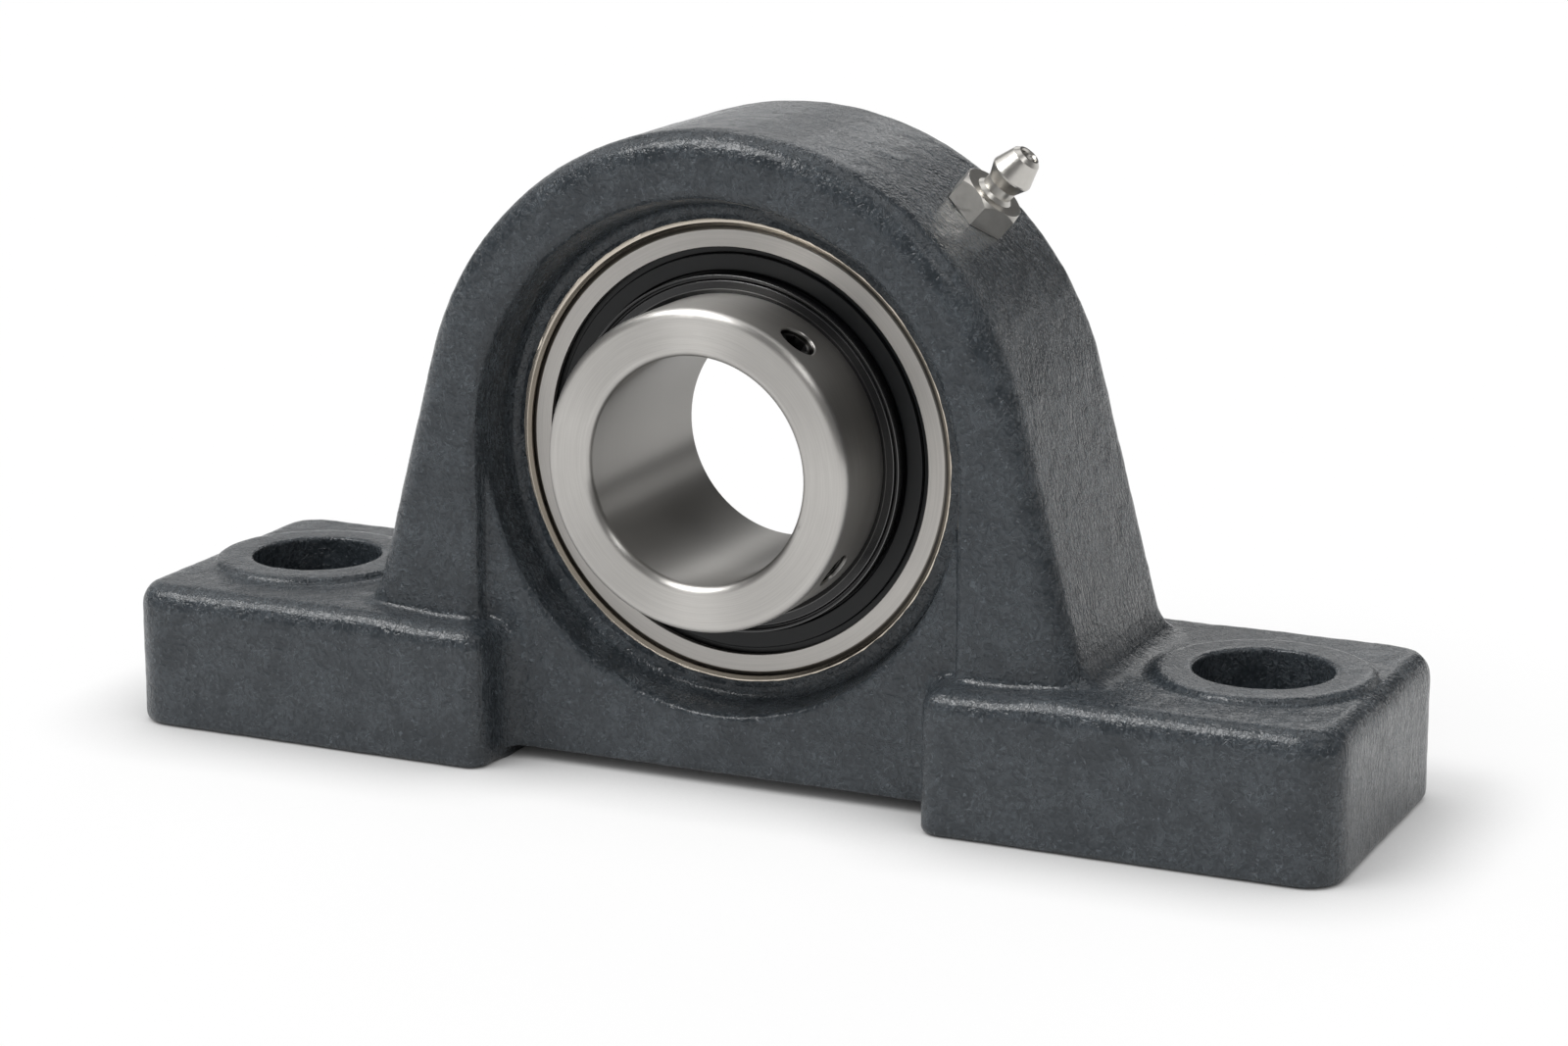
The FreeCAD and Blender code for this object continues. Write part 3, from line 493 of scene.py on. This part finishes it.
def turned_grain(recipe):
    """Fine grinding lines that run round the shaft, from 0 to 1."""
    place = recipe.place()
    x = recipe.part(place, "X")
    y = recipe.part(place, "Y")
    z = recipe.part(place, "Z")
    radius = recipe.from_axis(place)
    across = recipe.node("ShaderNodeCombineXYZ", values={
        0: x / radius * 2.5, 1: y / radius * 2.5, 2: z * 9 + radius * 9})
    return recipe.cloud(across, 1.0, 4.0)


def satin_ring(recipe):
    lines = turned_grain(recipe)
    stain = recipe.cloud(recipe.place(), 0.16, 3.0)
    shade = lines.step(0.3, 0.7) * 0.6 + stain * 0.4
    chamfer = recipe.from_axis(recipe.place()).step(DARK_FROM, DARK_FROM + DARK_FADE)
    face = recipe.blend(shade, RING_STEEL_DARK, RING_STEEL)
    return {
        "Base Color": recipe.blend(chamfer, face, RING_CHAMFER_DARK),
        "Metallic": 1.0,
        "Roughness": 0.30 + lines * 0.08,
        "Anisotropic": 0.75,
        "Anisotropic Rotation": 0.25,
        "Normal": recipe.relief(lines * 0.004),
    }


satin = finish("satin_ring_steel", satin_ring)
chamfer_y = RING_HALF - RING_CHAMFER
chamfer_r = math.sqrt(SPHERE ** 2 - chamfer_y ** 2)
face_outer = math.sqrt(SPHERE ** 2 - RING_HALF ** 2) - RING_CHAMFER
seal_r, seal_out, seal_in = SEAL_GROOVE
outer_race = PITCH + BALL_RADIUS + BALL_PLAY - RACE_RADIUS
outer_race_half = math.sqrt(RACE_RADIUS ** 2 - (LAND - outer_race) ** 2)
outer_ring = turned_mesh("outer_ring", [
    (face_outer, -RING_HALF, RING_EDGE),
    (chamfer_r, -chamfer_y, 0, (0, 0)),
    (chamfer_r, chamfer_y),
    (face_outer, RING_HALF, RING_EDGE),
    (FACE_INNER, RING_HALF, RING_EDGE),
    (FACE_INNER, seal_out),
    (seal_r, seal_out),
    (seal_r, seal_in),
    (LAND, seal_in),
    (LAND, outer_race_half, 0, (outer_race, 0)),
    (LAND, -outer_race_half),
    (LAND, -seal_in),
    (seal_r, -seal_in),
    (seal_r, -seal_out),
    (FACE_INNER, -seal_out),
    (FACE_INNER, -RING_HALF, RING_EDGE),
])
add_piece("bearing_outer_ring", outer_ring, satin,
          "outer_ring", "ring_steel", "outer_ring", stand=SHAFT_UP)


# Inner ring: bearing steel, ground in the bore, with a wide collar at the front. Its
# outside is turned with fine grooves, and two tapped holes go through the collar.
BORE = 12.5
COLLAR = 17.7
SCREW_Y = -13.6
SCREW_HOLE = 2.6
HOLE_FADE = 0.1
THREAD_BELOW = 0.25
COLLAR_STEEL = (0.58, 0.565, 0.54, 1)
COLLAR_STEEL_DARK = (0.47, 0.455, 0.435, 1)
# darker steel for the bore: painted shade inside it
BORE_STEEL_SHADE = (0.33, 0.32, 0.305, 1)
# near black for the walls of the tapped holes: painted shade inside them
HOLE_SHADE = (0.05, 0.048, 0.045, 1)


def turned_collar(recipe):
    place = recipe.place()
    radius = recipe.from_axis(place)
    # The bore is given the darker steel: painted shade inside the bore.
    in_bore = (radius - BORE).step(0.25, 0.05)
    lines = turned_grain(recipe)
    stain = recipe.cloud(place, 0.2, 3.0)
    shade = lines.step(0.3, 0.7) * 0.5 + stain * 0.5
    steel = recipe.blend(shade, COLLAR_STEEL_DARK, COLLAR_STEEL)
    beside_hole = abs(recipe.part(place, "Z") - SCREW_Y).step(
        SCREW_HOLE + HOLE_FADE, SCREW_HOLE)
    # The walls of the tapped holes are painted near black: painted shade inside the holes.
    hole_wall_shade = (beside_hole * (COLLAR - THREAD_BELOW - radius).step(0, 0.1)
                 * (radius - BORE).step(0.2, 0.3))
    outside = recipe.blend(hole_wall_shade, steel, HOLE_SHADE)
    return {
        "Base Color": recipe.blend(in_bore, outside, BORE_STEEL_SHADE),
        "Metallic": 1.0,
        "Roughness": 0.32 + lines * 0.08,
        "Anisotropic": 0.85,
        "Anisotropic Rotation": 0.25,
        "Normal": recipe.relief(lines * 0.004),
    }


inner_ring = nodes["inner_ring"].data.copy()
inner_ring.transform(SHAFT_UP.inverted())
add_piece("bearing_inner_ring", inner_ring, finish("turned_collar_steel", turned_collar),
          "inner_ring", "ring_steel", "inner_ring", stand=SHAFT_UP)


# Balls: nine lapped balls of hard chrome steel, with nothing but a haze of grease. They
# roll in the grooves of the two rings, and the cage holds them apart.
BALLS = 9


def lapped_ball(recipe):
    haze = recipe.cloud(recipe.place(), 0.8, 3.0)
    return {
        "Base Color": recipe.blend(haze, (0.62, 0.62, 0.62, 1), (0.74, 0.74, 0.75, 1)),
        "Metallic": 1.0,
        "Roughness": 0.05 + haze * 0.06,
    }


lapped = finish("lapped_ball_steel", lapped_ball)
for number in range(1, BALLS + 1):
    dress(f"ball_{number}", lapped)


# Cage: two ribbons of pressed steel strip with a pocket for each ball, riveted together.
# The press leaves them satin, a little darker than the rings.
def pressed_strip(recipe):
    place = recipe.place()
    rolled = recipe.cloud(recipe.place((0.5, 3, 0.5)), 1.4, 3.0)
    oil = recipe.cloud(place, 0.5, 2.0)
    return {
        "Base Color": recipe.blend(rolled, (0.30, 0.30, 0.29, 1), (0.46, 0.45, 0.43, 1)),
        "Metallic": 1.0,
        "Roughness": 0.30 + oil * 0.18,
        "Normal": recipe.relief(rolled * 0.006),
    }


strip = finish("pressed_strip", pressed_strip)
for name in ("cage_front_half", "cage_rear_half", "cage_rivets"):
    dress(name, strip)


# Seals: a washer of black nitrile rubber on each side, moulded to a pressed steel core and
# snapped into the outer ring. Its lip runs on the inner ring.
SEAL_EDGE = 23.178
SEAL_BACK = 5.9
SEAL_CHANNEL = 6.6
SEAL_FACE = 7.3
SEAL_FACE_INNER = 19.998
SEAL_LIP = 17.8
SEAL_LIP_WIDTH = 0.25
SEAL_LIP_SLOPE = 0.5
SEAL_INSIDE = 0.1
SEAL_ROUND = 0.16


def moulded_rubber(recipe):
    place = recipe.place()
    bloom = recipe.cloud(place, 0.5, 3.0)
    grain = recipe.cloud(place, 6.0, 2.0)
    return {
        "Base Color": recipe.blend(bloom, (0.003, 0.0035, 0.004, 1), (0.006, 0.007, 0.008, 1)),
        "Roughness": 0.28 + bloom * 0.12,
        "Specular IOR Level": 0.35,
        "Normal": recipe.relief(grain * 0.006),
    }


rubber = finish("moulded_rubber", moulded_rubber)
for end, side in (("front", -1), ("rear", 1)):
    profile = [
        (SEAL_LIP, SEAL_BACK),
        (SEAL_EDGE, SEAL_BACK),
        (SEAL_EDGE, SEAL_CHANNEL),
        (LAND, SEAL_CHANNEL, SEAL_INSIDE),
        (LAND, SEAL_FACE, SEAL_ROUND),
        (SEAL_FACE_INNER, SEAL_FACE, SEAL_ROUND),
        (SEAL_FACE_INNER, SEAL_CHANNEL, SEAL_INSIDE),
        (SEAL_LIP + SEAL_LIP_SLOPE, SEAL_CHANNEL, SEAL_INSIDE),
        (SEAL_LIP, SEAL_BACK + SEAL_LIP_WIDTH),
    ]
    if side < 0:
        profile = [(r, -y, *rounding) for r, y, *rounding in reversed(profile)]
    add_piece(f"{end}_seal", turned_mesh(f"{end}_seal", profile), rubber, "outer_ring",
              "seal_rubber", f"{end}_seal_lip", stand=SHAFT_UP)
    dress(f"{end}_seal_core", strip)


# Flinger: a stepped washer of thin steel, blackened, pressed on the collar in front of the
# seal. Its ridges carry thin bright metal rings: painted highlights where they catch the
# light.
FLINGER_BACK = -6.8
FLINGER_FRONT = -8.85
FLINGER_LOW = -8.3
FLINGER_RIDGE = -8.6
FLINGER_RIM = 19.798
FLINGER_SHEET = 0.35
FLINGER_INSIDE = 0.05
FLINGER_ROUND = 0.1
RIDGES = (18.2, 19.1, 19.75)
RIDGE_FALL = 0.15


def black_press(recipe):
    place = recipe.place()
    z = recipe.part(place, "Z")
    radius = recipe.from_axis(place)
    # thin bright metal rings on the ridges: painted highlights
    ridge_highlight = 0.0
    for ridge in RIDGES:
        ridge_highlight = abs(radius - ridge).step(0.09, 0.03) + ridge_highlight
    ridge_highlight = ridge_highlight * (z - FLINGER_LOW).step(-0.12, -0.18)
    lines = recipe.cloud(place, 2.0, 3.0)
    return {
        "Base Color": recipe.blend(ridge_highlight, (0.008, 0.008, 0.009, 1), (0.16, 0.16, 0.16, 1)),
        "Metallic": ridge_highlight,
        "Roughness": 0.20 + lines * 0.08,
        "Normal": recipe.relief(lines * 0.004),
    }


flinger = turned_mesh("flinger", [
    (COLLAR, FLINGER_BACK),
    (COLLAR, FLINGER_LOW, FLINGER_INSIDE),
    (RIDGES[0], FLINGER_RIDGE, FLINGER_ROUND),
    (RIDGES[1], FLINGER_RIDGE, FLINGER_ROUND),
    (RIDGES[1] + RIDGE_FALL, FLINGER_LOW, FLINGER_INSIDE),
    (FLINGER_RIM - FLINGER_SHEET, FLINGER_LOW, FLINGER_INSIDE),
    (FLINGER_RIM - FLINGER_SHEET, FLINGER_FRONT, FLINGER_ROUND),
    (FLINGER_RIM, FLINGER_FRONT, FLINGER_ROUND),
    (FLINGER_RIM, FLINGER_BACK, FLINGER_ROUND),
])
add_piece("flinger", flinger, finish("black_pressed_steel", black_press), "inner_ring",
          "black_steel", "front_flinger", stand=SHAFT_UP)


# Set screws: two socket screws of hardened steel, black from their oil quench, screwed
# into the collar until they grip the shaft.
def oil_black(recipe):
    wear = recipe.cloud(recipe.place(), 1.6, 3.0)
    return {
        "Base Color": recipe.blend(wear.step(0.45, 0.8), (0.012, 0.012, 0.012, 1),
                                   (0.05, 0.048, 0.045, 1)),
        "Metallic": 0.6,
        "Roughness": 0.22 + wear * 0.16,
    }


black_oxide = finish("black_oxide", oil_black)
for name in ("set_screw_upper", "set_screw_lower"):
    dress(name, black_oxide)


# Grease nipple: a steel nipple, turned, plated bright and screwed into the shoulder of the
# arch. A small ball under a spring closes its mouth.
def bright_plate(recipe):
    place = recipe.place()
    haze = recipe.cloud(place, 1.5, 3.0)
    grain = recipe.cloud(place, 7.0, 2.0)
    return {
        "Base Color": recipe.blend(haze, (0.50, 0.485, 0.45, 1), (0.62, 0.60, 0.57, 1)),
        "Metallic": 1.0,
        "Roughness": 0.26 + haze * 0.10,
        "Normal": recipe.relief(grain * 0.003),
    }


plate = finish("bright_nickel_plate", bright_plate)
dress("grease_nipple_body", plate)
dress("nipple_check_ball", lapped)
dress("nipple_spring", ground)


# Floor: a wide pale sheet that the feet stand on. It isn't a part of the bearing. A glow of
# its own keeps it pale where it is seen, and fades close to the feet.
FLOOR_REACH = 6.0
FLOOR_WHITE = (0.90, 0.90, 0.90, 1)
FLOOR_FIBRE = (0.88, 0.88, 0.88, 1)
FLOOR_GLOW = 0.72
FLOOR_SHADE = 14.0
SHADE_SAMPLES = 8


def seen_straight(recipe):
    """1 where the eye meets it directly, in a metal or through a gap, and 0 for its light."""
    seen = 0.0
    for ray in ("Is Camera Ray", "Is Glossy Ray", "Is Transmission Ray"):
        seen = recipe.node("ShaderNodeLightPath", output=ray) + seen
    return seen.worked("MINIMUM", seen, 1.0)


sheet = bpy.data.materials.new("pale_sheet")
sheet.use_nodes = True
sheet.node_tree.nodes.clear()
recipe = Recipe(sheet.node_tree)
fibre = recipe.cloud(recipe.place(), 0.8, 2.0)
matt = recipe.node("ShaderNodeBsdfDiffuse", values={
    "Color": recipe.blend(fibre, FLOOR_WHITE, FLOOR_FIBRE)})
corner_shade = recipe.node("ShaderNodeAmbientOcclusion", {"samples": SHADE_SAMPLES},
                           {"Color": (1, 1, 1, 1), "Distance": FLOOR_SHADE * MM})
glow = recipe.node("ShaderNodeEmission", values={"Color": corner_shade, "Strength": 1.0})
sheet_seen = recipe.node("ShaderNodeMixShader", values={
    0: seen_straight(recipe) * FLOOR_GLOW, 1: matt, 2: glow})
recipe.node("ShaderNodeOutputMaterial", values={"Surface": sheet_seen})
floor_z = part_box("housing")[0].z
floor_mesh = bpy.data.meshes.new("floor")
floor_mesh.from_pydata(
    [(x * FLOOR_REACH, y * FLOOR_REACH, floor_z) for x, y in
     ((-1, -1), (1, -1), (1, 1), (-1, 1))], [], [(0, 1, 2, 3)])
floor = bpy.data.objects.new("floor", floor_mesh)
bpy.context.scene.collection.objects.link(floor)
floor_mesh.materials.append(sheet)


# Light: a studio with dim walls, a big soft box high on the left of the camera and a
# smaller one on the right. Behind the bearing, long lamps run outwards from the line of
# the shaft, and the steel shows them as bright streaks.
WALLS = 0.26
CEILING = 0.12
CEILING_FROM = 30
CEILING_FULL = 60
BACKDROP = 0.985
PANEL_EDGE = 2.5
PANELS = [
    # turned from the back, lifted, half as wide and half as high, in degrees; brightness
    (-138, 51, 25, 13, 12.0),
    (129, 44, 14, 7, 4.5),
]
# turned round the shaft, half as wide, and where it starts and ends from the shaft's
# line, in degrees; brightness
OVERHEAD = (98, 50, 66, 98, 1.6)
OVERHEAD_EDGE = 4
STREAK_NEAR = 6
STREAK_NEAR_EDGE = 6
STREAK_FAR = 50
STREAK_FAR_EDGE = 8
STREAK_EDGE = 5
STREAKS = [
    # turned round the shaft from the right, half as wide, in degrees; brightness
    (20, 9, 0.9),
    (63, 19, 0.12),
    (119, 12, 2.1),
    (165, 10, 1.1),
]
world = bpy.data.worlds.new("studio")
world.use_nodes = True
world.node_tree.nodes.clear()
bpy.context.scene.world = world
room = Recipe(world.node_tree)
way = room.node("ShaderNodeTexCoord", output="Generated")
way_x = room.part(way, "X")
way_y = room.part(way, "Y")
way_z = room.part(way, "Z")
turned_by = way_x.worked("ARCTAN2", way_x, way_y) * math.degrees(1)
lifted_by = way_z.worked("ARCSINE", way_z) * math.degrees(1)
light = WALLS + lifted_by.step(CEILING_FROM, CEILING_FULL) * (CEILING - WALLS)
for turn, lift, half_width, half_height, brightness in PANELS:
    across = abs(turned_by - turn).step(half_width + PANEL_EDGE, half_width - PANEL_EDGE)
    upright = abs(lifted_by - lift).step(half_height + PANEL_EDGE, half_height - PANEL_EDGE)
    light = light + across * upright * (brightness - light)
round_shaft = way_z.worked("ARCTAN2", way_z, way_x) * math.degrees(1)
off_shaft = way_y.worked("ARCCOSINE", way_y) * math.degrees(1)
reach = (off_shaft.step(STREAK_NEAR, STREAK_NEAR + STREAK_NEAR_EDGE)
         * off_shaft.step(STREAK_FAR + STREAK_FAR_EDGE, STREAK_FAR))
turn, half_width, near, far, brightness = OVERHEAD
overhead = (off_shaft.step(near, near + OVERHEAD_EDGE)
            * off_shaft.step(far + OVERHEAD_EDGE, far)
            * abs(round_shaft - turn).step(half_width + OVERHEAD_EDGE, half_width))
light = light + overhead * (brightness - light)
for turn, half_width, brightness in STREAKS:
    across = abs(round_shaft - turn).step(half_width + STREAK_EDGE,
                                          half_width - STREAK_EDGE)
    light = light + across * reach * (brightness - light)
seen = room.node("ShaderNodeLightPath", output="Is Camera Ray")
level = light + seen * (BACKDROP - light)
shine = room.node("ShaderNodeBackground", values={"Strength": level})
room.node("ShaderNodeOutputWorld", values={"Surface": shine})


# Camera: a long lens, to the right of the shaft and a little above it. It looks at a point
# a little below the middle of the bearing.
LENS = 89.2
TURN = math.radians(24.66)
LIFT = math.radians(14.05)
DISTANCE = 429.7
NEAREST = 10
TARGET = Vector((2.32, 0, -9.31))
backward = Vector((math.sin(TURN) * math.cos(LIFT), -math.cos(TURN) * math.cos(LIFT),
                   math.sin(LIFT)))
camera = bpy.data.objects.new("camera", bpy.data.cameras.new("camera"))
camera.data.lens = LENS
camera.data.clip_start = NEAREST * MM
camera.location = (TARGET + backward * DISTANCE) * MM
camera.rotation_euler = backward.to_track_quat("Z", "Y").to_euler()
bpy.context.scene.collection.objects.link(camera)
bpy.context.scene.camera = camera
bpy.context.scene.view_settings.view_transform = "Standard"
